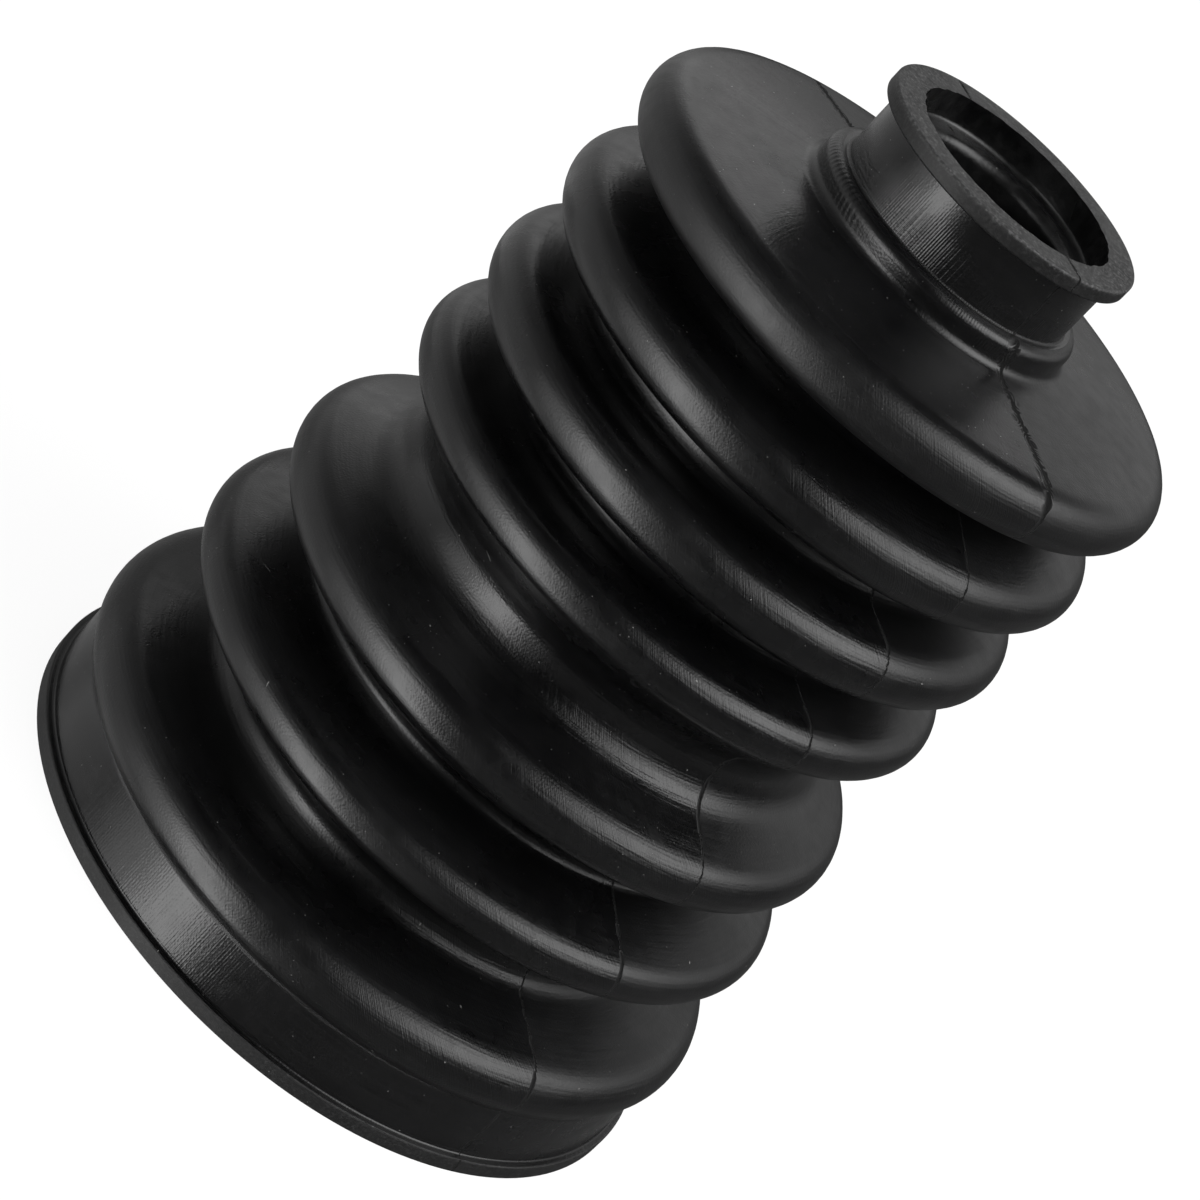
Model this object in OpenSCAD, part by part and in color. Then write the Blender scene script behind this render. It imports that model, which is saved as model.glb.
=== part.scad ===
// Rubber bellows boot, moulded in one piece.
// It stands on its large open end. The axis is +Z and the narrow neck is on top.
// The section is one closed outline that is turned about the axis. Both skins
// are chains of round bends joined by straight walls that touch them.

/* [Large cuff] */
// Diameter of the large bore that slips over the housing
cuff_bore_d = 77; // [68:0.5:92]
// Wall of the cuff, from the bore to the seat for the large clamp band
cuff_wall = 3.05; // [2.2:0.05:4.5]
// Height of the seat for the large clamp band
cuff_seat_h = 7.4; // [5:0.1:14]
// Height of the lip round the large opening
lip_h = 1.9; // [1:0.1:4]
// How far the lip stands out from the seat
lip_rise = 0.95; // [0.7:0.05:3]
// Chamfer at the mouth of the large bore
cuff_chamfer = 0.8; // [0.2:0.1:1.5]

/* [Lower folds] */
// How far crest 1 stands out from the seat of the large cuff
crest_1_rise = 1.15; // [0.6:0.05:3]
// Inside rounding of crest 1
crest_1_round = 2; // [1:0.05:2.6]
// Diameter over crest 2
crest_2_d = 80.1; // [74:0.1:88]
// Inside rounding of crest 2
crest_2_round = 0.85; // [0.5:0.05:1.6]
// Diameter over crest 3
crest_3_d = 76.5; // [70:0.1:84]
// Inside rounding of crest 3
crest_3_round = 1.55; // [0.6:0.05:2]
// Height from crest 1 to crest 2
pitch_1_2 = 16.7; // [14:0.1:22]
// Height from crest 2 to crest 3
pitch_2_3 = 13.9; // [12:0.1:20]
// Diameter at the root between crests 1 and 2
root_1_d = 59.1; // [54:0.1:64]
// Rounding of the root between crests 1 and 2
root_1_round = 2.15; // [1:0.05:3]
// How far that root lies above the middle of its two crests
root_1_lift = 0.5; // [-1:0.1:1.5]
// Diameter at the root between crests 2 and 3
root_2_d = 59; // [54:0.1:64]
// Rounding of the root between crests 2 and 3
root_2_round = 2.5; // [1:0.05:3]

/* [Waist] */
// Diameter at the waist, the widest valley
waist_d = 57.5; // [54:0.1:62]
// Rounding of the waist
waist_round = 5; // [3:0.1:6]
// Height from crest 3 to crest 4, over the waist
pitch_3_4 = 19.1; // [17:0.1:26]

/* [Upper folds] */
// Diameter over crest 4, above the waist
crest_4_d = 71.4; // [68:0.1:76]
// Inside rounding of crest 4
crest_4_round = 0.95; // [0.5:0.05:1.4]
// Height from crest 4 to crest 5
pitch_4_5 = 11.8; // [11:0.1:15]
// Diameter over crests 5, 6 and 7
upper_crest_d = 71.2; // [68:0.1:76]
// Inside rounding of crests 5, 6 and 7
upper_crest_round = 1.6; // [0.8:0.05:1.8]
// Height from crest to crest in the upper folds
upper_pitch = 12.25; // [11.8:0.05:16]
// Number of crests above crest 4
upper_crests = 3; // [2:1:5]
// Diameter at the roots of the upper folds
upper_root_d = 52; // [48:0.1:58]
// Rounding of the roots of the upper folds
upper_root_round = 2.2; // [1:0.05:2.4]

/* [Neck] */
// Diameter of the bore that seals on the shaft
shaft_bore_d = 20; // [17:0.1:28]
// Wall of the neck, from the shaft bore to the seat for the small clamp band
neck_wall = 5; // [4:0.1:6]
// Height of the seat for the small clamp band
neck_seat_h = 7.2; // [5:0.1:14]
// Width of the ledge between the shaft bore and the wide mouth
ledge_w = 2.9; // [1.5:0.1:3.4]
// Depth of the wide mouth, down to the ledge
mouth_depth = 3.6; // [2:0.1:6]
// Thickness of the flange round the mouth
flange_t = 1.85; // [1.2:0.05:4]
// How far the flange stands out from the seat
flange_rise = 1.55; // [1:0.05:4]
// How far the bead at the foot of the neck stands out from the seat
bead_rise = 2.1; // [1.8:0.05:3]
// Rounding of the bead
bead_round = 1.3; // [0.9:0.05:1.5]
// Rounding at the foot of the neck
foot_round = 1.3; // [0.6:0.1:2]
// Height of the bead over the foot of the neck
bead_lift = 1; // [0.6:0.1:3]
// Height from the top crest to the foot of the neck
shoulder_rise = 6.1; // [5.4:0.1:12]
// Rounding of the inner end of the shaft bore
neck_end_round = 1.5; // [0.5:0.1:2]

/* [Wall] */
// Wall thickness of the folds
wall = 2; // [1.6:0.05:2.2]
// Rounding of the outer corners
edge_round = 0.3; // [0.1:0.05:0.5]
// Rounding in the corners of the clamp seats
seat_round = 0.35; // [0.15:0.05:0.6]
// Rounding where the large cuff runs into crest 1
cuff_blend = 0.5; // [0.2:0.05:1]

/* [Hidden] */
// Largest turn between two points of a bend, in degrees
turn_step = 15;
// Pieces round the axis in the drawn mesh
round_fn = 144;

// A bend is [radius from the axis, height, rounding, side]. The side is 1
// where the skin bulges out round the bend's centre and -1 where it dips in.
CREST = 1;
ROOT = -1;

function crest_bend(d, z, rounding) = [d / 2 - rounding, z, rounding, CREST];
function fold_bend(d, z, inside) = crest_bend(d, z, inside + wall);
function root_bend(d, z, rounding) = [d / 2 + rounding, z, rounding, ROOT];
function corner_point(r, z) = [r, z, 0, CREST];

// Diameters that follow the bores
cuff_seat_d = cuff_bore_d + 2 * cuff_wall;
lip_d = cuff_seat_d + 2 * lip_rise;
crest_1_d = cuff_seat_d + 2 * crest_1_rise;
neck_seat_d = shaft_bore_d + 2 * neck_wall;
flange_d = neck_seat_d + 2 * flange_rise;
bead_d = neck_seat_d + 2 * bead_rise;
mouth_d = shaft_bore_d + 2 * ledge_w;

// Height that a bend of one rounding needs to touch the next, at this reach
function step_up(round_a, round_b, reach) =
    sqrt(max(0, pow(round_a + round_b, 2) - pow(reach, 2)));

// Heights of the folds, from the large end up
cuff_seat_top = lip_h + cuff_seat_h;
crest_1_outer = crest_1_round + wall;
crest_1_z = cuff_seat_top
    + step_up(crest_1_outer, cuff_blend, crest_1_outer + cuff_blend - crest_1_rise);
crest_2_z = crest_1_z + pitch_1_2;
crest_3_z = crest_2_z + pitch_2_3;
crest_4_z = crest_3_z + pitch_3_4;
crest_5_z = crest_4_z + pitch_4_5;
top_crest_z = crest_5_z + (upper_crests - 1) * upper_pitch;

// Heights of the neck
foot_z = top_crest_z + shoulder_rise;
bead_z = foot_z + bead_lift;
neck_seat_z = bead_z + step_up(bead_round, seat_round, bead_rise - bead_round - seat_round);
flange_z = neck_seat_z + neck_seat_h;
total_h = flange_z + flange_t;
ledge_z = total_h - mouth_depth;
neck_end_z = foot_z - foot_round - wall + neck_end_round;

function middle(a, b) = (a + b) / 2;

// The folds, shared by both skins
fold_bends = concat(
    [
        fold_bend(crest_1_d, crest_1_z, crest_1_round),
        root_bend(root_1_d, middle(crest_1_z, crest_2_z) + root_1_lift, root_1_round),
        fold_bend(crest_2_d, crest_2_z, crest_2_round),
        root_bend(root_2_d, middle(crest_2_z, crest_3_z), root_2_round),
        fold_bend(crest_3_d, crest_3_z, crest_3_round),
        root_bend(waist_d, middle(crest_3_z, crest_4_z), waist_round),
        fold_bend(crest_4_d, crest_4_z, crest_4_round),
        root_bend(upper_root_d, middle(crest_4_z, crest_5_z), upper_root_round),
        fold_bend(upper_crest_d, crest_5_z, upper_crest_round)
    ],
    [
        for (i = [1:upper_crests - 1], side = [ROOT, CREST])
            let (z = crest_5_z + i * upper_pitch)
                side == ROOT
                    ? root_bend(upper_root_d, z - upper_pitch / 2, upper_root_round)
                    : fold_bend(upper_crest_d, z, upper_crest_round)
    ]
);

// The same bend on the inner skin, one wall further in
function inner_bend(b) = [b[0], b[1], b[2] - b[3] * wall, b[3]];

outer_bends = concat(
    [
        corner_point(lip_d / 2, 0),
        crest_bend(lip_d, lip_h - edge_round, edge_round),
        root_bend(cuff_seat_d, lip_h + seat_round, seat_round),
        root_bend(cuff_seat_d, cuff_seat_top, cuff_blend)
    ],
    fold_bends,
    [
        root_bend(bead_d, foot_z, foot_round),
        crest_bend(bead_d, bead_z, bead_round),
        root_bend(neck_seat_d, neck_seat_z, seat_round),
        root_bend(neck_seat_d, flange_z - seat_round, seat_round),
        crest_bend(flange_d, flange_z + edge_round, edge_round),
        crest_bend(flange_d, total_h - edge_round, edge_round)
    ]
);

inner_bends = concat(
    [
        corner_point(cuff_bore_d / 2 + cuff_chamfer, 0),
        corner_point(cuff_bore_d / 2, cuff_chamfer),
        root_bend(cuff_bore_d, cuff_seat_top, cuff_blend)
    ],
    [for (b = fold_bends) inner_bend(b)],
    [
        root_bend(shaft_bore_d, neck_end_z, neck_end_round),
        root_bend(shaft_bore_d, ledge_z - edge_round, edge_round),
        crest_bend(mouth_d, ledge_z + edge_round, edge_round),
        corner_point(mouth_d / 2, total_h)
    ]
);

// Direction of the straight wall from one bend to the next
function wall_turn(a, b) =
    let (
        dr = b[0] - a[0],
        dz = b[1] - a[1],
        span = norm([dr, dz]),
        lean = (b[3] * b[2] - a[3] * a[2]) / span
    )
        atan2(dz, dr) - asin(min(1, max(-1, lean)));

// Points of one bend, from the wall that comes in to the wall that goes out
function bend_points(b, turn_in, turn_out) =
    b[2] == 0
        ? [[b[0], b[1]]]
        : let (steps = max(2, ceil(abs(turn_out - turn_in) / turn_step)))
            [
                for (k = [0:steps])
                    let (turn = turn_in + (turn_out - turn_in) * k / steps)
                        [b[0] + b[3] * b[2] * sin(turn), b[1] - b[3] * b[2] * cos(turn)]
            ];

// Points of a whole skin
function skin_points(bends, first_turn, last_turn) =
    let (n = len(bends))
        [
            for (i = [0:n - 1])
                let (
                    turn_in = i == 0 ? first_turn : wall_turn(bends[i - 1], bends[i]),
                    turn_out = i == n - 1 ? last_turn : wall_turn(bends[i], bends[i + 1])
                )
                    each bend_points(bends[i], turn_in, turn_out)
        ];

function backwards(list) = [for (i = [len(list) - 1:-1:0]) list[i]];

// The outer skin goes up and over the flange, the inner skin comes back down
module boot_section() {
    polygon(concat(
        skin_points(outer_bends, 90, 180),
        backwards(skin_points(inner_bends, 135, 90))
    ));
}

module bellows_boot() {
    color([0.13, 0.13, 0.135])
        rotate_extrude($fn = round_fn)
            boot_section();
}

bellows_boot();
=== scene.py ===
"""Looks of the moulded rubber bellows boot: one turned piece, its finish, the light and the camera."""
from collections import namedtuple
from math import asin, atan2, ceil, cos, hypot, pi, radians, sin

import bmesh
import bpy
from mathutils import Matrix, Vector, noise


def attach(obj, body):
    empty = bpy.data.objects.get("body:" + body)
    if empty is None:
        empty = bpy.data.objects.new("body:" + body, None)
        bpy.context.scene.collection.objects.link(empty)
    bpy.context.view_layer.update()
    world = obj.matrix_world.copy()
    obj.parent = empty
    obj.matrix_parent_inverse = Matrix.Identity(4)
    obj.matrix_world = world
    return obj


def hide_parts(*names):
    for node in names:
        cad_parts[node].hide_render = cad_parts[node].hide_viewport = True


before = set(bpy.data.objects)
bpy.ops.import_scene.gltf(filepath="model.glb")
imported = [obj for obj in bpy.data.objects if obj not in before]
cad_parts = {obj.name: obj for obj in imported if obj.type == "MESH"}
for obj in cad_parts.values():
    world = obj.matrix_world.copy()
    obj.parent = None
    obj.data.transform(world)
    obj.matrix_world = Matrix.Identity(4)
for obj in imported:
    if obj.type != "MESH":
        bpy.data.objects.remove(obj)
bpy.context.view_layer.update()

MM = 0.001
MICRON = 0.000001

# Sizes of the boot in millimetres, as in the part's source
WALL = 2.0
TOTAL_HEIGHT = 116.042
LEDGE_HEIGHT = 112.442
FLANGE_FOOT = 114.192
NECK_SEAT_FOOT = 106.992
FOOT_HEIGHT = 104.405
BEAD_HEIGHT = 105.405
LIP_HEIGHT = 1.9
CUFF_SEAT_TOP = 9.3
LIP_ACROSS = 85.0
CUFF_SEAT_ACROSS = 83.1
CUFF_BORE_ACROSS = 77.0
CUFF_CHAMFER = 0.8
NECK_SEAT_ACROSS = 30.0
SHAFT_BORE_ACROSS = 20.0
MOUTH_ACROSS = 25.8
FLANGE_ACROSS = 33.1
BEAD_ACROSS = 34.2
EDGE_ROUNDING = 0.3
SEAT_ROUNDING = 0.35
LEDGE_ROUNDING = 1.3
MOUTH_ROUNDING = 0.6

# How finely the piece is turned
OUTER_TURN_STEP = radians(9)
INNER_TURN_STEP = radians(24)
LONGEST_WALL = 3.0
STEPS_AROUND = 180
SHARP_TURN = radians(38)

# Direction of the mould's parting plane, measured round the axis from the front
PARTING_TURN = radians(46)
PARTING_ACROSS = (cos(PARTING_TURN), sin(PARTING_TURN), 0)

# Where the finish changes, in metres: from the first value, where it hasn't begun, to the second
NECK_REACH = (0.0185, 0.0175)
ABOVE_BEAD = (0.1064, 0.1069)
CUFF_SEAT = (0.0098, 0.0090)
SHOULDER = (0.0990, 0.1015)
TRIMMED_TOP = (0.1155, 0.11595)
COMBED_PART_OF_NECK = (0.1135, 0.1090)
TOP_CREST = (0.0935, 0.1010)
WAIST = (0.0470, 0.0580)
BEAD_HEIGHTS = (0.1043, 0.1067)
BEAD_REACH = (0.0177, 0.0171)

Bend = namedtuple("Bend", "reach height rounding side")


def crest(across, height, rounding):
    """A bend that bulges out, given over its outside diameter."""
    return Bend(across / 2 - rounding, height, rounding, 1)


def root(across, height, rounding):
    """A bend that dips in, given at its smallest diameter."""
    return Bend(across / 2 + rounding, height, rounding, -1)


def corner(across, height):
    """A plain corner with no rounding."""
    return Bend(across / 2, height, 0, 1)


def folds():
    """The crests and roots of the bellows on the outer skin, as they settle under their own weight."""
    return [
        crest(across=85.4, height=12.305, rounding=4.0),
        root(across=60.0, height=20.2, rounding=2.7),
        crest(across=80.5, height=29.005, rounding=2.95),
        root(across=59.3, height=35.2, rounding=1.2),
        crest(across=76.95, height=42.905, rounding=3.65),
        root(across=57.5, height=52.455, rounding=5.0),
        crest(across=71.75, height=62.005, rounding=3.05),
        root(across=52.0, height=67.905, rounding=2.2),
        crest(across=71.5, height=73.805, rounding=3.65),
        root(across=52.0, height=79.93, rounding=2.2),
        crest(across=71.4, height=86.055, rounding=3.6),
        root(across=52.0, height=93.1, rounding=1.6),
        crest(across=71.0, height=98.2, rounding=3.6),
    ]


def outer_skin():
    """The outer skin from the lip's bottom corner up to the flange."""
    cuff = [
        corner(LIP_ACROSS, 0),
        crest(LIP_ACROSS, LIP_HEIGHT - EDGE_ROUNDING, EDGE_ROUNDING),
        root(CUFF_SEAT_ACROSS, LIP_HEIGHT + SEAT_ROUNDING, SEAT_ROUNDING),
        root(CUFF_SEAT_ACROSS, CUFF_SEAT_TOP, rounding=0.5),
    ]
    neck = [
        root(BEAD_ACROSS, FOOT_HEIGHT, rounding=1.3),
        crest(BEAD_ACROSS, BEAD_HEIGHT, rounding=1.3),
        root(NECK_SEAT_ACROSS, NECK_SEAT_FOOT, SEAT_ROUNDING),
        root(NECK_SEAT_ACROSS, FLANGE_FOOT - SEAT_ROUNDING, SEAT_ROUNDING),
        crest(FLANGE_ACROSS, FLANGE_FOOT + EDGE_ROUNDING, EDGE_ROUNDING),
        crest(FLANGE_ACROSS, TOTAL_HEIGHT - EDGE_ROUNDING, EDGE_ROUNDING),
    ]
    return cuff + folds() + neck


def inner_skin():
    """The inner skin from the cuff's mouth up to the neck's mouth, one wall further in."""
    cuff = [
        corner(CUFF_BORE_ACROSS + 2 * CUFF_CHAMFER, 0),
        corner(CUFF_BORE_ACROSS, CUFF_CHAMFER),
        root(CUFF_BORE_ACROSS, CUFF_SEAT_TOP, rounding=0.5),
    ]
    inside = [bend._replace(rounding=bend.rounding - bend.side * WALL) for bend in folds()]
    neck = [
        root(SHAFT_BORE_ACROSS, height=102.605, rounding=1.5),
        root(SHAFT_BORE_ACROSS, LEDGE_HEIGHT - LEDGE_ROUNDING, LEDGE_ROUNDING),
        crest(MOUTH_ACROSS, LEDGE_HEIGHT + MOUTH_ROUNDING, MOUTH_ROUNDING),
        corner(MOUTH_ACROSS, TOTAL_HEIGHT),
    ]
    return cuff + inside + neck


def wall_turn(lower, upper):
    """Direction of the straight wall that touches two bends."""
    out = upper.reach - lower.reach
    up = upper.height - lower.height
    lean = (upper.side * upper.rounding - lower.side * lower.rounding) / hypot(out, up)
    return atan2(up, out) - asin(max(-1, min(1, lean)))


def draw_bend(mesh, bend, turn_in, turn_out, turn_step):
    """Turns one point round the bend's centre and returns the first and last point."""
    swing = bend.side * bend.rounding
    start = mesh.verts.new((
        (bend.reach + swing * sin(turn_in)) * MM,
        0,
        (bend.height - swing * cos(turn_in)) * MM,
    ))
    if not bend.rounding:
        return start, start
    turned = bmesh.ops.spin(
        mesh,
        geom=[start],
        cent=(bend.reach * MM, 0, bend.height * MM),
        axis=(0, -1, 0),
        dvec=(0, 0, 0),
        angle=turn_out - turn_in,
        steps=max(2, ceil(abs(turn_out - turn_in) / turn_step)),
    )
    return start, turned["geom_last"][0]


def halve_long_walls(mesh):
    """Cuts the straight walls in half until each length is short."""
    while True:
        long_walls = [edge for edge in mesh.edges if edge.calc_length() > LONGEST_WALL * MM]
        if not long_walls:
            return
        bmesh.ops.subdivide_edges(mesh, edges=long_walls, cuts=1)


def draw_skin(mesh, bends, first_turn, last_turn, turn_step):
    """Draws a chain of bends and returns its two end points."""
    turns = [wall_turn(lower, upper) for lower, upper in zip(bends, bends[1:])]
    arrivals = [first_turn] + turns
    departures = turns + [last_turn]
    first = None
    previous = None
    for bend, turn_in, turn_out in zip(bends, arrivals, departures):
        start, end = draw_bend(mesh, bend, turn_in, turn_out, turn_step)
        if previous:
            mesh.edges.new((previous, start))
        first = first or start
        previous = end
    return first, previous


def reach_of(point):
    """Distance of a point from the boot's axis."""
    return hypot(point.x, point.y)


def fray_mouth(mesh):
    """Moves the mouth's upper edge a little in and out, where the mould was trimmed by hand."""
    fray = 0.32 * MM
    cuts_per_metre = 900
    mostly_inward = 0.15
    near_top = (TOTAL_HEIGHT - 0.05) * MM
    near_mouth = (MOUTH_ACROSS / 2 + 0.2) * MM
    for vert in mesh.verts:
        if vert.co.z > near_top and reach_of(vert.co) < near_mouth:
            rough = noise.noise(vert.co * cuts_per_metre)
            outward = Vector((vert.co.x, vert.co.y, 0)).normalized()
            vert.co -= outward * fray * max(0, rough + mostly_inward)


def ramp(value, start, end):
    """0 at start and 1 at end, with a straight change between."""
    return min(1, max(0, (value - start) / (end - start)))


def swell(height, middle, spread):
    """1 at the middle height, with a smooth fall to 0 on both sides."""
    near = max(0, 1 - abs(height - middle) / spread)
    return near * (2 - near)


def lean_of(height, reach):
    """How far the soft folds lean to the right at a height, in millimetres."""
    lower_folds = -0.26 * swell(height, middle=40, spread=26)
    crest_below_top = 0.13 * swell(height, middle=86, spread=8)
    top_crest = 0.2 * swell(height, middle=98.3, spread=9)
    return ramp(reach, 18, 28) * (lower_folds + crest_below_top + top_crest)


def settle_folds(mesh):
    """Gives the folds the slight unevenness of a soft part: never more than a hair."""
    sag = 0.12 * MM
    dents_per_metre = 38
    elsewhere = Vector((7, 3, 5))
    for vert in mesh.verts:
        height = vert.co.z / MM
        vert.co.x += lean_of(height, reach_of(vert.co) / MM) * MM
        above_cuff = ramp(height, 15, 23)
        below_neck = ramp(height, 102, 97)
        amount = sag * above_cuff * below_neck
        outward = Vector((vert.co.x, vert.co.y, 0)).normalized()
        vert.co += outward * amount * noise.noise(vert.co * dents_per_metre)
        vert.co.z += amount * noise.noise(vert.co * dents_per_metre + elsewhere)


def mark_sharp_corners(mesh):
    """Keeps a crease where two faces meet at a real corner."""
    for edge in mesh.edges:
        if edge.is_manifold and edge.calc_face_angle(0) > SHARP_TURN:
            edge.smooth = False


def paint_faces(mesh, trimmed_slot, inner_slot):
    """Gives the flange and the lip their trimmed finish and the inner skin its own."""
    above_foot = FLANGE_FOOT + 0.05
    past_mouth = MOUTH_ACROSS / 2 + 0.02
    below_seat = LIP_HEIGHT - 0.05
    past_chamfer = CUFF_BORE_ACROSS / 2 + CUFF_CHAMFER
    for face in mesh.faces:
        centre = face.calc_center_median()
        reach = reach_of(centre) / MM
        height = centre.z / MM
        on_flange = height > above_foot and reach > past_mouth
        on_lip = height < below_seat and reach > past_chamfer
        faces_axis = face.normal.x * centre.x + face.normal.y * centre.y < 0
        if on_flange or on_lip:
            face.material_index = trimmed_slot
        elif faces_axis:
            face.material_index = inner_slot


def add_object(name, mesh, materials):
    """Turns a drawn mesh into an object with its materials."""
    data = bpy.data.meshes.new(name)
    mesh.to_mesh(data)
    mesh.free()
    for material in materials:
        data.materials.append(material)
    piece = bpy.data.objects.new(name, data)
    bpy.context.scene.collection.objects.link(piece)
    return piece


def make_boot(moulded, trimmed, inner):
    """Turns the section into the boot and gives it its three finishes."""
    mesh = bmesh.new()
    lip_corner, flange_edge = draw_skin(
        mesh, outer_skin(), radians(90), radians(180), OUTER_TURN_STEP
    )
    cuff_mouth, neck_mouth = draw_skin(
        mesh, inner_skin(), radians(135), radians(90), INNER_TURN_STEP
    )
    mesh.edges.new((lip_corner, cuff_mouth))
    mesh.edges.new((flange_edge, neck_mouth))
    halve_long_walls(mesh)
    bmesh.ops.spin(
        mesh,
        geom=mesh.verts[:] + mesh.edges[:],
        cent=(0, 0, 0),
        axis=(0, 0, 1),
        dvec=(0, 0, 0),
        angle=2 * pi,
        steps=STEPS_AROUND,
        use_merge=True,
    )
    bmesh.ops.remove_doubles(mesh, verts=mesh.verts, dist=0.001 * MM)
    bmesh.ops.recalc_face_normals(mesh, faces=mesh.faces)
    settle_folds(mesh)
    fray_mouth(mesh)
    for face in mesh.faces:
        face.smooth = True
    mark_sharp_corners(mesh)
    mesh.normal_update()
    paint_faces(mesh, trimmed_slot=1, inner_slot=2)
    return add_object("rubber_boot", mesh, [moulded, trimmed, inner])


class Wiring:
    """Adds nodes to one node tree and joins them, so that each effect reads as a short recipe."""

    def __init__(self, tree):
        self.tree = tree

    def add(self, kind, **settings):
        node = self.tree.nodes.new(kind)
        for name, value in settings.items():
            setattr(node, name, value)
        return node

    def feed(self, socket, value):
        if isinstance(value, bpy.types.NodeSocket):
            self.tree.links.new(value, socket)
        else:
            socket.default_value = value

    def maths(self, operation, *values):
        node = self.add("ShaderNodeMath", operation=operation)
        for socket, value in zip(node.inputs, values):
            self.feed(socket, value)
        return node.outputs[0]

    def total(self, first, *others):
        for other in others:
            first = self.maths("ADD", first, other)
        return first

    def product(self, first, *others):
        for other in others:
            first = self.maths("MULTIPLY", first, other)
        return first

    def opposite(self, mask):
        """1 where a mask is 0."""
        return self.maths("SUBTRACT", 1, mask)

    def larger(self, first, second):
        return self.maths("MAXIMUM", first, second)

    def vector(self, operation, first, second=None, scale=None):
        node = self.add("ShaderNodeVectorMath", operation=operation)
        self.feed(node.inputs[0], first)
        if second is not None:
            self.feed(node.inputs[1], second)
        if scale is not None:
            self.feed(node.inputs["Scale"], scale)
        return node.outputs["Value" if operation in ("DOT_PRODUCT", "LENGTH") else "Vector"]

    def along_axis(self, height):
        """A vector that points up the axis."""
        node = self.add("ShaderNodeCombineXYZ")
        self.feed(node.inputs[2], height)
        return node.outputs[0]

    def turn_about_axis(self, direction, angle):
        node = self.add("ShaderNodeVectorRotate", rotation_type="Z_AXIS")
        self.feed(node.inputs["Vector"], direction)
        self.feed(node.inputs["Angle"], angle)
        return node.outputs[0]

    def fade(self, value, start, end):
        """0 at start and 1 at end, with a smooth change between."""
        node = self.add("ShaderNodeMapRange", interpolation_type="SMOOTHSTEP")
        self.feed(node.inputs["Value"], value)
        self.feed(node.inputs["From Min"], start)
        self.feed(node.inputs["From Max"], end)
        return node.outputs["Result"]

    def between(self, value, low, high, blur):
        """1 between two values and 0 outside them, with soft ends."""
        return self.product(
            self.fade(value, low - blur, low + blur),
            self.fade(value, high + blur, high - blur),
        )

    def spread(self, value, low, high):
        """Stretches a 0 to 1 value to the range from low to high."""
        node = self.add("ShaderNodeMapRange", clamp=True)
        self.feed(node.inputs["Value"], value)
        self.feed(node.inputs["To Min"], low)
        self.feed(node.inputs["To Max"], high)
        return node.outputs["Result"]

    def blend(self, amount, first, second):
        """Blends two numbers by a mask."""
        node = self.add("ShaderNodeMix")
        self.feed(node.inputs["Factor"], amount)
        self.feed(node.inputs[2], first)
        self.feed(node.inputs[3], second)
        return node.outputs[0]

    def blend_colours(self, amount, first, second):
        """Blends two colours by a mask."""
        node = self.add("ShaderNodeMix", data_type="RGBA")
        self.feed(node.inputs["Factor"], amount)
        self.feed(node.inputs[6], first)
        self.feed(node.inputs[7], second)
        return node.outputs[2]

    def rough_noise(self, where, scale, detail=0.0):
        node = self.add("ShaderNodeTexNoise")
        self.feed(node.inputs["Vector"], where)
        self.feed(node.inputs["Scale"], scale)
        self.feed(node.inputs["Detail"], detail)
        return node.outputs["Fac"]

    def bump(self, relief):
        """Turns a relief in metres into a normal."""
        node = self.add("ShaderNodeBump")
        node.inputs["Strength"].default_value = 1.0
        node.inputs["Distance"].default_value = 1.0
        self.feed(node.inputs["Height"], relief)
        return node.outputs[0]


def new_group(name, inputs, outputs):
    """A shader node group with named sockets. Each input is a name, a kind and a value."""
    tree = bpy.data.node_groups.new(name, "ShaderNodeTree")
    for label, kind, value in inputs:
        socket = tree.interface.new_socket(label, in_out="INPUT", socket_type=kind)
        if value is not None:
            socket.default_value = value
    for label, kind in outputs:
        tree.interface.new_socket(label, in_out="OUTPUT", socket_type=kind)
    wires = Wiring(tree)
    return tree, wires, wires.add("NodeGroupInput").outputs, wires.add("NodeGroupOutput").inputs


def place_group(wires, tree, **values):
    """Puts a group into a material with its own values. An underscore stands for a space."""
    node = wires.add("ShaderNodeGroup", node_tree=tree)
    for label, value in values.items():
        wires.feed(node.inputs[label.replace("_", " ")], value)
    return node.outputs


FLOAT = "NodeSocketFloat"
VECTOR = "NodeSocketVector"


def make_turned_place():
    """Where a point lies on a turned part: round the axis, out from it, and along it."""
    tree, wires, given, result = new_group(
        "turned place",
        [("Place", VECTOR, None)],
        [("Around", FLOAT), ("Reach", FLOAT), ("Height", FLOAT), ("Section", FLOAT), ("Ring", VECTOR)],
    )
    slope_of_section = -0.6
    split = wires.add("ShaderNodeSeparateXYZ")
    wires.feed(split.inputs[0], given["Place"])
    x, y, height = split.outputs
    flat = wires.vector("MULTIPLY", given["Place"], (1, 1, 0))
    reach = wires.vector("LENGTH", flat)
    wires.feed(result["Around"], wires.maths("ARCTAN2", x, wires.maths("MULTIPLY", y, -1)))
    wires.feed(result["Reach"], reach)
    wires.feed(result["Height"], height)
    wires.feed(result["Section"], wires.total(height, wires.product(reach, slope_of_section)))
    wires.feed(result["Ring"], wires.vector("NORMALIZE", flat))
    return tree


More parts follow.
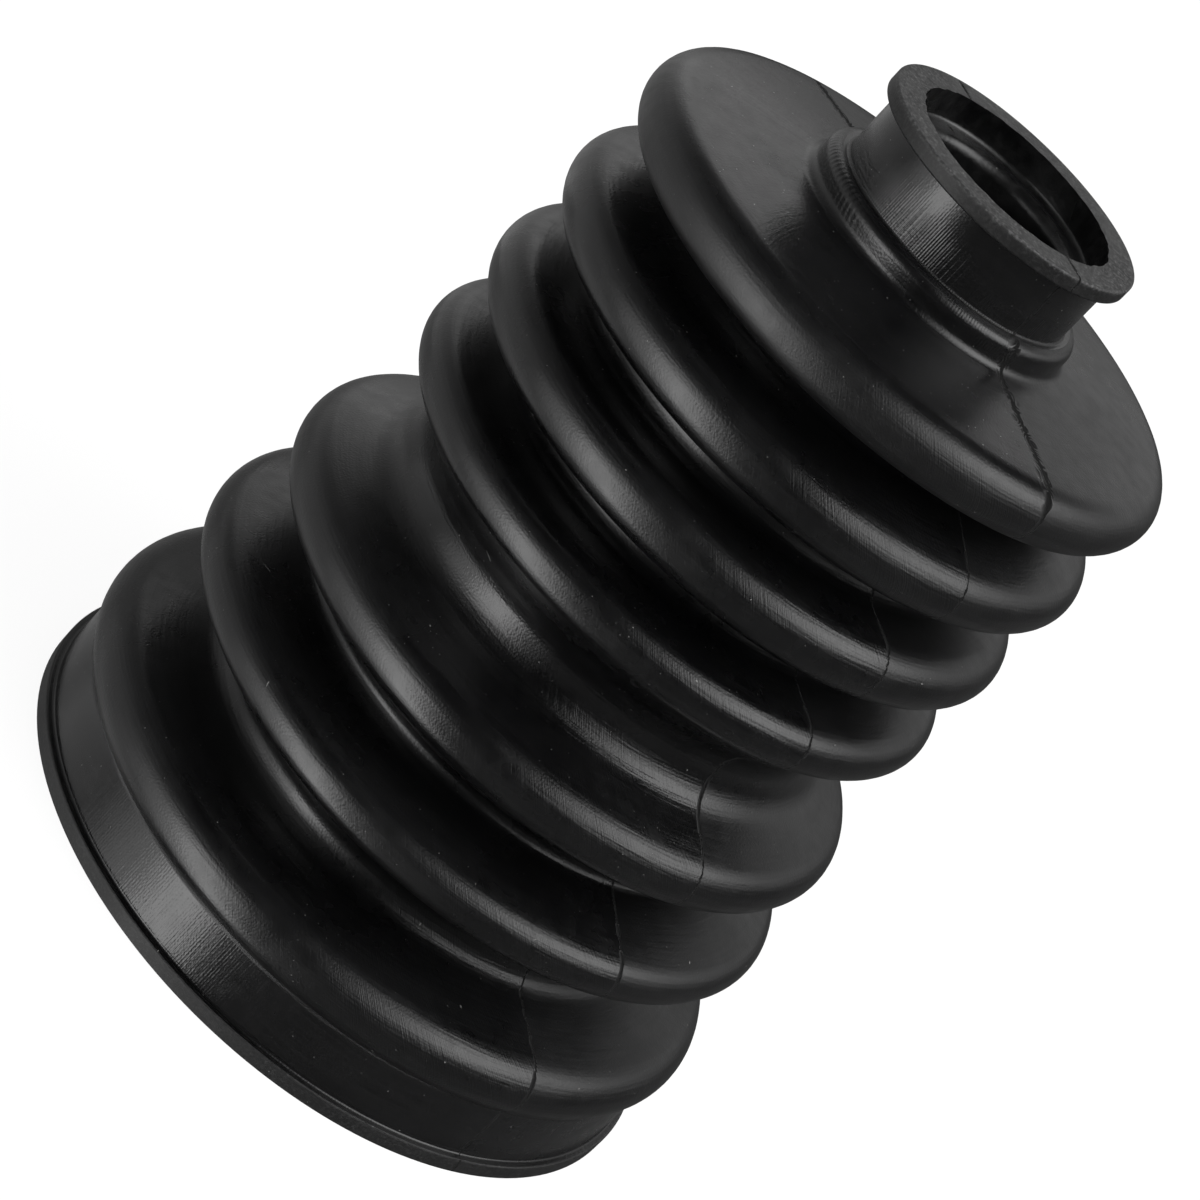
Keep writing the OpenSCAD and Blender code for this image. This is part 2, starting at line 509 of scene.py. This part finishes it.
def make_draw_lines():
    """Fine short lines that cross the folds at a slant, as the polished mould leaves them."""
    tree, wires, given, result = new_group(
        "draw lines",
        [("Ring", VECTOR, None), ("Height", FLOAT, 0), ("Section", FLOAT, 0), ("Lines", FLOAT, 160),
         ("Length", FLOAT, 0.004), ("Slant", FLOAT, 20)],
        [("Relief", FLOAT)],
    )
    slanted = wires.turn_about_axis(given["Ring"], wires.product(given["Section"], given["Slant"]))
    lines = wires.vector("SCALE", slanted, scale=given["Lines"])
    along = wires.along_axis(wires.maths("DIVIDE", given["Height"], given["Length"]))
    where = wires.vector("ADD", lines, along)
    wires.feed(result["Relief"], wires.rough_noise(where, 1.0))
    return tree


def make_turning_streaks():
    """Long shallow streaks round the axis, left by the lathe that cut the mould."""
    tree, wires, given, result = new_group(
        "turning streaks",
        [("Ring", VECTOR, None), ("Section", FLOAT, 0), ("Streaks", FLOAT, 900), ("Pull", FLOAT, 2.5)],
        [("Relief", FLOAT)],
    )
    fine = wires.along_axis(wires.product(given["Section"], given["Streaks"]))
    slow = wires.vector("SCALE", given["Ring"], scale=given["Pull"])
    wires.feed(result["Relief"], wires.rough_noise(wires.vector("ADD", slow, fine), 1.0, detail=1.0))
    return tree


def make_bead_ripple():
    """The rope-like ripple on the bead: coarse at the left, fine near the parting line."""
    tree, wires, given, result = new_group(
        "bead ripple",
        [("Around", FLOAT, 0), ("Ring", VECTOR, None), ("Reach", FLOAT, 0), ("Height", FLOAT, 0)],
        [("Relief", FLOAT)],
    )
    around = given["Around"]
    height = given["Height"]
    coarse_count = 128
    fine_count = 290
    twist = 2600
    fine_share = 0.45
    to_left = (-1, 0, 0)
    by_seam = (sin(radians(30)), -cos(radians(30)), 0)
    on_bead = wires.product(
        wires.between(height, *BEAD_HEIGHTS, blur=0.0003),
        wires.fade(given["Reach"], *BEAD_REACH),
    )
    slant = wires.product(height, twist)
    coarse = wires.maths("SINE", wires.total(wires.product(around, coarse_count), slant))
    fine = wires.maths("SINE", wires.product(around, fine_count))
    at_left = wires.fade(wires.vector("DOT_PRODUCT", given["Ring"], to_left), 0.40, 0.62)
    near_seam = wires.fade(wires.vector("DOT_PRODUCT", given["Ring"], by_seam), 0.93, 0.99)
    ripple = wires.total(wires.product(coarse, at_left), wires.product(fine, near_seam, fine_share))
    wires.feed(result["Relief"], wires.product(ripple, on_bead))
    return tree


def make_parting_line():
    """The thin seam where the two halves of the mould meet, broken into short lengths."""
    tree, wires, given, result = new_group(
        "parting line",
        [("Place", VECTOR, None), ("Across", VECTOR, (1, 0, 0)), ("Width", FLOAT, 0.0001)],
        [("Seam", FLOAT), ("Nicks", FLOAT), ("Near Half", FLOAT)],
    )
    place = given["Place"]
    lumps_per_metre = 420
    wander_width = 70 * MICRON
    gap_rhythm = 60
    lumps = wires.rough_noise(place, lumps_per_metre)
    wander = wires.product(wires.maths("SUBTRACT", lumps, 0.5), wander_width)
    off = wires.total(wires.vector("DOT_PRODUCT", place, given["Across"]), wander)
    apart = wires.maths("ABSOLUTE", off)
    gaps = wires.fade(wires.maths("SINE", wires.product(lumps, gap_rhythm)), -0.7, 0.3)
    width = wires.product(given["Width"], wires.spread(gaps, 0.45, 1.25))
    wires.feed(result["Seam"], wires.fade(apart, width, wires.product(width, 0.35)))
    near = wires.fade(apart, wires.product(given["Width"], 2.2), 50 * MICRON)
    wires.feed(result["Nicks"], wires.product(near, wires.fade(lumps, 0.60, 0.68)))
    wires.feed(result["Near Half"], wires.fade(off, 200 * MICRON, -100 * MICRON))
    return tree


def make_dust():
    """Specks and short threads of lint that lie on the rubber."""
    tree, wires, given, result = new_group(
        "dust",
        [("Place", VECTOR, None), ("Speck Spacing", FLOAT, 0.0008), ("Speck Size", FLOAT, 70 * MICRON),
         ("Thread Spacing", FLOAT, 0.006), ("Thread Length", FLOAT, 0.0008)],
        [("Specks", FLOAT), ("Threads", FLOAT)],
    )
    place = given["Place"]

    def nearest(spacing):
        """The chance and the offset of the nearest scattered point."""
        cells = wires.add("ShaderNodeTexVoronoi", feature="F1")
        where = wires.vector("SCALE", place, scale=wires.maths("DIVIDE", 1, spacing))
        wires.feed(cells.inputs["Vector"], where)
        cells.inputs["Scale"].default_value = 1.0
        middle = wires.vector("SCALE", cells.outputs["Position"], scale=spacing)
        return cells.outputs["Color"], wires.vector("SUBTRACT", place, middle)

    chance, off = nearest(given["Speck Spacing"])
    chances = wires.add("ShaderNodeSeparateColor")
    wires.feed(chances.inputs[0], chance)
    size = wires.product(given["Speck Size"], wires.spread(chances.outputs[0], 0.4, 1.3))
    specks = wires.fade(wires.vector("LENGTH", off), size, wires.product(size, 0.5))
    strength = wires.maths("POWER", chances.outputs[1], 2)
    wires.feed(result["Specks"], wires.product(specks, strength))

    chance, off = nearest(given["Thread Spacing"])
    lie = wires.vector("NORMALIZE", wires.vector("SUBTRACT", chance, (0.5, 0.5, 0.5)))
    along = wires.vector("DOT_PRODUCT", off, lie)
    across = wires.vector("LENGTH", wires.vector("SUBTRACT", off, wires.vector("SCALE", lie, scale=along)))
    thin = wires.fade(across, 90 * MICRON, 30 * MICRON)
    length = given["Thread Length"]
    short = wires.fade(wires.maths("ABSOLUTE", along), length, wires.product(length, 0.6))
    wires.feed(result["Threads"], wires.product(thin, short))
    return tree


def make_smudges():
    """Broad soft patches where hands and the mould's wax left the rubber duller or shinier."""
    tree, wires, given, result = new_group(
        "smudges",
        [("Place", VECTOR, None), ("Spacing", FLOAT, 0.02)],
        [("Broad", FLOAT), ("Close", FLOAT)],
    )
    where = wires.vector("SCALE", given["Place"], scale=wires.maths("DIVIDE", 1, given["Spacing"]))
    wires.feed(result["Broad"], wires.fade(wires.rough_noise(where, 1.0, detail=1.0), 0.3, 0.7))
    wires.feed(result["Close"], wires.fade(wires.rough_noise(where, 9.0, detail=1.0), 0.25, 0.8))
    return tree


def start_material(name):
    """An empty material, with its wires and the socket that its surface feeds."""
    material = bpy.data.materials.new(name)
    material.use_nodes = True
    material.node_tree.nodes.clear()
    wires = Wiring(material.node_tree)
    return material, wires, wires.add("ShaderNodeOutputMaterial").inputs["Surface"]


def start_rubber(name):
    """An empty rubber material, with its shader and the point on the surface."""
    material, wires, surface = start_material(name)
    shader = wires.add("ShaderNodeBsdfPrincipled")
    wires.feed(surface, shader.outputs[0])
    place = wires.add("ShaderNodeTexCoord").outputs["Object"]
    return material, wires, shader, place


# Colours that the finishes share
LINT_GREY = (0.14, 0.14, 0.135, 1)
SEAM_BLACK = (0.0012, 0.0012, 0.0012, 1)


def make_moulded_rubber(groups):
    """The satin black rubber of the folds, seats and bead."""
    black = (0.0010, 0.0010, 0.0011, 1)
    worn_black = (0.0065, 0.0065, 0.0067, 1)
    polished = 0.13
    satin = 0.21
    dulling = 0.16
    far_half_dulling = 0.09
    top_crest_dulling = 0.12
    waist_dulling = -0.04
    cuff_patch_dulling = 0.05
    litter_dulling = 0.4
    grain_depth = 15 * MICRON
    ripple_depth = 11 * MICRON
    seam_depth = -80 * MICRON
    nick_depth = -120 * MICRON

    material, wires, shader, place = start_rubber("moulded rubber")
    turned = place_group(wires, groups["turned place"], Place=place)
    ring = turned["Ring"]
    height = turned["Height"]
    reach = turned["Reach"]
    section = turned["Section"]
    on_neck = wires.product(wires.fade(reach, *NECK_REACH), wires.fade(height, *ABOVE_BEAD))
    on_cuff_seat = wires.fade(height, *CUFF_SEAT)
    on_seat = wires.larger(on_neck, on_cuff_seat)
    on_shoulder = wires.fade(height, *SHOULDER)
    on_plate = wires.product(on_shoulder, wires.opposite(on_neck))
    on_top_crest = wires.between(height, *TOP_CREST, blur=0.001)
    on_waist = wires.between(height, *WAIST, blur=0.003)
    line_count = wires.spread(on_neck, 290, 130)
    line_length = wires.spread(on_seat, 0.003, 0.012)
    slant = wires.spread(on_seat, 20, 0)
    lines = place_group(
        wires, groups["draw lines"],
        Ring=ring, Height=height, Section=section, Lines=line_count, Length=line_length, Slant=slant,
    )
    streaks = place_group(
        wires, groups["turning streaks"], Ring=ring, Section=section, Streaks=2300, Pull=5
    )
    ripple = place_group(
        wires, groups["bead ripple"], Around=turned["Around"], Ring=ring, Reach=reach, Height=height
    )
    seam_width = wires.spread(on_plate, 170 * MICRON, 720 * MICRON)
    parting = place_group(
        wires, groups["parting line"], Place=place, Across=PARTING_ACROSS, Width=seam_width
    )
    dust = place_group(wires, groups["dust"], Place=place)
    smudges = place_group(wires, groups["smudges"], Place=place, Spacing=0.018)
    litter = wires.larger(dust["Specks"], dust["Threads"])
    split = wires.larger(parting["Seam"], parting["Nicks"])

    worn = wires.total(
        wires.product(smudges["Broad"], 0.20),
        wires.product(smudges["Close"], 0.09),
        wires.product(wires.fade(streaks["Relief"], 0.3, 0.7), 0.25),
        wires.product(wires.fade(lines["Relief"], 0.3, 0.7), 0.15),
    )
    colour = wires.blend_colours(worn, black, worn_black)
    colour = wires.blend_colours(split, colour, SEAM_BLACK)
    colour = wires.blend_colours(litter, colour, LINT_GREY)
    wires.feed(shader.inputs["Base Color"], colour)

    shine = wires.blend(wires.larger(on_shoulder, on_cuff_seat), satin, polished)
    patches = wires.total(wires.product(smudges["Broad"], 0.6), wires.product(smudges["Close"], 0.4))
    roughness = wires.total(
        shine,
        wires.product(patches, dulling, wires.spread(on_seat, 1.0, 0.5)),
        wires.product(on_top_crest, top_crest_dulling),
        wires.product(on_waist, waist_dulling),
        wires.product(smudges["Close"], on_cuff_seat, cuff_patch_dulling),
        wires.product(wires.opposite(parting["Near Half"]), far_half_dulling),
        wires.product(litter, litter_dulling),
    )
    roughness = wires.blend(split, roughness, 1.0)
    wires.feed(shader.inputs["Roughness"], roughness)

    by_seam = wires.product(wires.fade(turned["Around"], radians(-6), radians(14)), parting["Near Half"])
    smoother = wires.larger(on_shoulder, on_seat)
    drawn_folds = wires.spread(by_seam, 6 * MICRON, 22 * MICRON)
    drawn_depth = wires.blend(smoother, drawn_folds, 9 * MICRON)
    turned_folds = wires.spread(by_seam, 28 * MICRON, 48 * MICRON)
    turned_depth = wires.blend(smoother, turned_folds, 14 * MICRON)
    comb_count = wires.spread(on_cuff_seat, 310, 760)
    comb = wires.maths("SINE", wires.product(turned["Around"], comb_count))
    comb_depth = wires.product(on_seat, wires.spread(on_cuff_seat, 12.5 * MICRON, 2.2 * MICRON))
    comb_part = wires.product(
        wires.fade(lines["Relief"], 0.1, 0.7), wires.fade(height, *COMBED_PART_OF_NECK)
    )
    grain = wires.rough_noise(place, 4000)
    relief = wires.total(
        wires.product(lines["Relief"], drawn_depth),
        wires.product(streaks["Relief"], turned_depth),
        wires.product(comb, comb_depth, comb_part),
        wires.product(grain, grain_depth),
        wires.product(ripple["Relief"], ripple_depth),
        wires.product(parting["Seam"], seam_depth),
        wires.product(parting["Nicks"], nick_depth),
    )
    wires.feed(shader.inputs["Normal"], wires.bump(relief))
    return material


def make_trimmed_rubber(groups):
    """The duller, finely speckled rubber of the flange and the lip."""
    black = (0.003, 0.003, 0.0031, 1)
    speck_grey = (0.012, 0.012, 0.012, 1)
    cut_grey = (0.019, 0.019, 0.019, 1)
    cut_speck_grey = (0.062, 0.062, 0.062, 1)
    seam_width = 240 * MICRON
    grain_depth = 34 * MICRON
    seam_depth = -100 * MICRON
    nick_depth = -150 * MICRON

    material, wires, shader, place = start_rubber("trimmed rubber")
    turned = place_group(wires, groups["turned place"], Place=place)
    parting = place_group(
        wires, groups["parting line"], Place=place, Across=PARTING_ACROSS, Width=seam_width
    )
    dust = place_group(wires, groups["dust"], Place=place, Speck_Spacing=0.0016)
    smudges = place_group(wires, groups["smudges"], Place=place, Spacing=0.009)
    speckle = wires.fade(wires.rough_noise(place, 3000, detail=2.0), 0.42, 0.72)
    on_cut_face = wires.fade(turned["Height"], *TRIMMED_TOP)

    moulded = wires.blend_colours(speckle, black, speck_grey)
    cut = wires.blend_colours(speckle, cut_grey, cut_speck_grey)
    cut = wires.blend_colours(wires.product(smudges["Close"], 0.6), cut, black)
    colour = wires.blend_colours(on_cut_face, moulded, cut)
    colour = wires.blend_colours(wires.larger(parting["Seam"], parting["Nicks"]), colour, SEAM_BLACK)
    litter = wires.larger(dust["Specks"], dust["Threads"])
    colour = wires.blend_colours(litter, colour, LINT_GREY)
    wires.feed(shader.inputs["Base Color"], colour)

    roughness = wires.spread(smudges["Broad"], 0.58, 0.72)
    roughness = wires.blend(parting["Seam"], roughness, 1.0)
    wires.feed(shader.inputs["Roughness"], roughness)

    grain = wires.rough_noise(place, 2800, detail=1.0)
    relief = wires.total(
        wires.product(grain, grain_depth),
        wires.product(parting["Seam"], seam_depth),
        wires.product(parting["Nicks"], nick_depth),
    )
    wires.feed(shader.inputs["Normal"], wires.bump(relief))
    return material


def make_inner_rubber(groups):
    """The plain satin rubber of the bores and the inner skin, which a solid core moulded."""
    black = (0.0014, 0.0014, 0.0015, 1)
    dusty_black = (0.006, 0.006, 0.006, 1)
    grain_depth = 30 * MICRON

    material, wires, shader, place = start_rubber("inner rubber")
    dust = place_group(wires, groups["dust"], Place=place, Speck_Spacing=0.0022)
    smudges = place_group(wires, groups["smudges"], Place=place, Spacing=0.012)
    colour = wires.blend_colours(smudges["Close"], black, dusty_black)
    colour = wires.blend_colours(dust["Specks"], colour, LINT_GREY)
    wires.feed(shader.inputs["Base Color"], colour)
    wires.feed(shader.inputs["Roughness"], wires.spread(smudges["Broad"], 0.24, 0.34))
    grain = wires.product(wires.rough_noise(place, 1600, detail=1.0), grain_depth)
    wires.feed(shader.inputs["Normal"], wires.bump(grain))
    return material


def make_softbox_mask():
    """A lit panel of the studio seen from the boot, by its edges round and up, in radians."""
    tree, wires, given, result = new_group(
        "softbox",
        [("Around", FLOAT, 0), ("Up", FLOAT, 0),
         ("Left", FLOAT, 0), ("Right", FLOAT, 1), ("Low", FLOAT, 0), ("High", FLOAT, 1),
         ("Left Blur", FLOAT, 0.1), ("Right Blur", FLOAT, 0.1),
         ("Low Blur", FLOAT, 0.1), ("High Blur", FLOAT, 0.1)],
        [("Light", FLOAT)],
    )

    def past(value, edge):
        blur = given[edge + " Blur"]
        return wires.fade(value, wires.maths("SUBTRACT", given[edge], blur), wires.total(given[edge], blur))

    def short_of(value, edge):
        blur = given[edge + " Blur"]
        return wires.fade(value, wires.total(given[edge], blur), wires.maths("SUBTRACT", given[edge], blur))

    wide = wires.product(past(given["Around"], "Left"), short_of(given["Around"], "Right"))
    tall = wires.product(past(given["Up"], "Low"), short_of(given["Up"], "High"))
    wires.feed(result["Light"], wires.product(wide, tall))
    return tree


def light_room():
    """A dim studio with pale walls behind and a softbox at each side. The camera sees plain white."""
    softbox = make_softbox_mask()
    world = bpy.data.worlds.new("studio")
    world.use_nodes = True
    bpy.context.scene.world = world
    wires = Wiring(world.node_tree)
    world.node_tree.nodes.clear()
    split = wires.add("ShaderNodeSeparateXYZ")
    wires.feed(split.inputs[0], wires.add("ShaderNodeTexCoord").outputs["Generated"])
    x, y, z = split.outputs
    around = wires.maths("ARCTAN2", x, wires.maths("MULTIPLY", y, -1))
    up = wires.maths("ARCSINE", z)

    def panel(strength, **edges):
        """A soft-edged panel, with its edges and blurs in degrees."""
        turned = {label: radians(degrees) for label, degrees in edges.items()}
        mask = place_group(wires, softbox, Around=around, Up=up, **turned)
        return wires.product(mask["Light"], strength)

    room_glow = 0.028
    left_softbox = panel(
        1.9, Left=-68, Right=-16, Low=-70, High=18, Left_Blur=14, Right_Blur=13, Low_Blur=14, High_Blur=22
    )
    left_softbox_middle = panel(
        4.1, Left=-43, Right=-20, Low=-64, High=14, Left_Blur=8, Right_Blur=7, Low_Blur=12, High_Blur=20
    )
    right_softbox = panel(
        5.0, Left=47, Right=116, Low=24, High=62, Left_Blur=30, Right_Blur=22, Low_Blur=16, High_Blur=18
    )
    left_wall = panel(
        0.58, Left=-165, Right=-76, Low=-64, High=24, Left_Blur=12, Right_Blur=13, Low_Blur=14, High_Blur=14
    )
    wall_behind_left = panel(
        0.85, Left=-190, Right=-152, Low=12, High=34, Left_Blur=5, Right_Blur=14, Low_Blur=8, High_Blur=7
    )
    wall_behind_right = panel(
        0.72, Left=126, Right=190, Low=8, High=34, Left_Blur=14, Right_Blur=5, Low_Blur=9, High_Blur=8
    )
    upper_left_glow = panel(
        0.19, Left=-168, Right=-15, Low=24, High=50, Left_Blur=10, Right_Blur=15, Low_Blur=10, High_Blur=10
    )
    front_glow = panel(
        0.15, Left=-25, Right=75, Low=-75, High=4, Left_Blur=20, Right_Blur=25, Low_Blur=16, High_Blur=16
    )
    right_glow = panel(
        0.14, Left=75, Right=190, Low=-70, High=-5, Left_Blur=25, Right_Blur=5, Low_Blur=14, High_Blur=14
    )
    light = wires.total(
        room_glow, left_softbox, left_softbox_middle, right_softbox, left_wall, wall_behind_left,
        wall_behind_right, upper_left_glow, front_glow, right_glow,
    )
    room = wires.add("ShaderNodeBackground")
    wires.feed(room.inputs["Strength"], light)
    white = wires.add("ShaderNodeBackground")
    white.inputs["Strength"].default_value = 1.0
    white.inputs["Color"].default_value = (1, 1, 1, 1)
    mix = wires.add("ShaderNodeMixShader")
    wires.feed(mix.inputs[0], wires.add("ShaderNodeLightPath").outputs["Is Camera Ray"])
    wires.feed(mix.inputs[1], room.outputs[0])
    wires.feed(mix.inputs[2], white.outputs[0])
    output = wires.add("ShaderNodeOutputWorld")
    wires.feed(output.inputs["Surface"], mix.outputs[0])
    world.cycles.sampling_method = "NONE"


def direction(turn, climb):
    """A unit vector, given round the axis from the front and up from the floor, in degrees."""
    flat = cos(radians(climb))
    return Vector((flat * sin(radians(turn)), -flat * cos(radians(turn)), sin(radians(climb))))


def add_softbox(name, turn, climb, distance, width, height, power):
    """An area lamp that faces the middle of the boot and stays out of its gloss."""
    lamp = bpy.data.lights.new(name, "AREA")
    lamp.shape = "RECTANGLE"
    lamp.size = width
    lamp.size_y = height
    lamp.energy = power
    softbox = bpy.data.objects.new(name, lamp)
    middle = Vector((0, 0, 0.058))
    away = direction(turn, climb)
    facing = away.to_track_quat("Z", "Y").to_matrix().to_4x4()
    softbox.matrix_world = Matrix.Translation(middle + away * distance) @ facing
    softbox.visible_glossy = False
    bpy.context.scene.collection.objects.link(softbox)


def make_floor():
    """A plain pale floor that keeps the boot's shadow and shows as white."""
    half_size = 3
    share_of_white = 0.9
    material, wires, surface = start_material("pale floor")
    paper = wires.add("ShaderNodeBsdfPrincipled")
    paper.inputs["Base Color"].default_value = (0.9, 0.9, 0.9, 1)
    paper.inputs["Roughness"].default_value = 0.9
    white = wires.add("ShaderNodeEmission")
    mix = wires.add("ShaderNodeMixShader")
    seen = wires.product(wires.add("ShaderNodeLightPath").outputs["Is Camera Ray"], share_of_white)
    wires.feed(mix.inputs[0], seen)
    wires.feed(mix.inputs[1], paper.outputs[0])
    wires.feed(mix.inputs[2], white.outputs[0])
    wires.feed(surface, mix.outputs[0])
    material.cycles.emission_sampling = "NONE"
    mesh = bmesh.new()
    bmesh.ops.create_grid(mesh, x_segments=1, y_segments=1, size=half_size)
    floor = add_object("floor", mesh, [material])
    floor.visible_glossy = False


def hang_painted_shade_card():
    """A dimly glowing grey sheet behind the lower folds, seen only in their gloss, that keeps the bright
    wall off them: painted shade, standing in for the boot's own shadow in what the lower folds reflect.
    """
    left, right = -0.16, -0.012
    low, high = -0.12, 0.050
    behind = 0.055
    # The glow below is painted shade: dimmer than the wall it hides from the lower folds.
    glow = 0.23
    material, wires, surface = start_material("painted shade card")
    # This emission is the painted shade that the lower folds reflect.
    paper = wires.add("ShaderNodeEmission")
    paper.inputs["Strength"].default_value = glow
    wires.feed(surface, paper.outputs[0])
    material.cycles.emission_sampling = "NONE"
    mesh = bmesh.new()
    bmesh.ops.create_grid(mesh, x_segments=1, y_segments=1, size=0.5)
    bmesh.ops.rotate(mesh, verts=mesh.verts, matrix=Matrix.Rotation(radians(90), 3, "X"))
    bmesh.ops.scale(mesh, verts=mesh.verts, vec=(right - left, 1, high - low))
    bmesh.ops.translate(mesh, verts=mesh.verts, vec=((left + right) / 2, behind, (low + high) / 2))
    card = add_object("painted_shade_card", mesh, [material])
    card.visible_camera = False
    card.visible_diffuse = False
    card.visible_shadow = False


def place_camera():
    """The photograph's view: from the front and above, turned so that the boot leans to the right."""
    eye = Vector((-0.00021, -0.39965, 0.22793))
    target = Vector((-0.00085, 0, 0.04832))
    roll = radians(43.83)
    ahead = (target - eye).normalized()
    level = ahead.cross(Vector((0, 0, 1))).normalized()
    upright = level.cross(ahead)
    image_right = level * cos(roll) + upright * sin(roll)
    image_up = upright * cos(roll) - level * sin(roll)
    turn = Matrix((image_right, image_up, -ahead)).transposed()
    camera = bpy.data.cameras.new("camera")
    camera.sensor_fit = "HORIZONTAL"
    camera.sensor_width = 36
    camera.lens = 118.58
    camera.clip_start = 0.01
    viewer = bpy.data.objects.new("camera", camera)
    viewer.matrix_world = Matrix.Translation(eye) @ turn.to_4x4()
    bpy.context.scene.collection.objects.link(viewer)
    bpy.context.scene.camera = viewer


def main():
    groups = {
        "turned place": make_turned_place(),
        "draw lines": make_draw_lines(),
        "turning streaks": make_turning_streaks(),
        "bead ripple": make_bead_ripple(),
        "parting line": make_parting_line(),
        "dust": make_dust(),
        "smudges": make_smudges(),
    }
    boot = make_boot(make_moulded_rubber(groups), make_trimmed_rubber(groups), make_inner_rubber(groups))
    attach(boot, "root")
    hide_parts("bellows_boot")
    make_floor()
    hang_painted_shade_card()
    light_room()
    add_softbox("right softbox", turn=77, climb=40, distance=0.7, width=0.74, height=0.54, power=4)
    add_softbox("overhead softbox", turn=0, climb=85, distance=1.3, width=1.4, height=1.4, power=21)
    place_camera()
    bpy.context.scene.view_settings.view_transform = "Standard"


main()
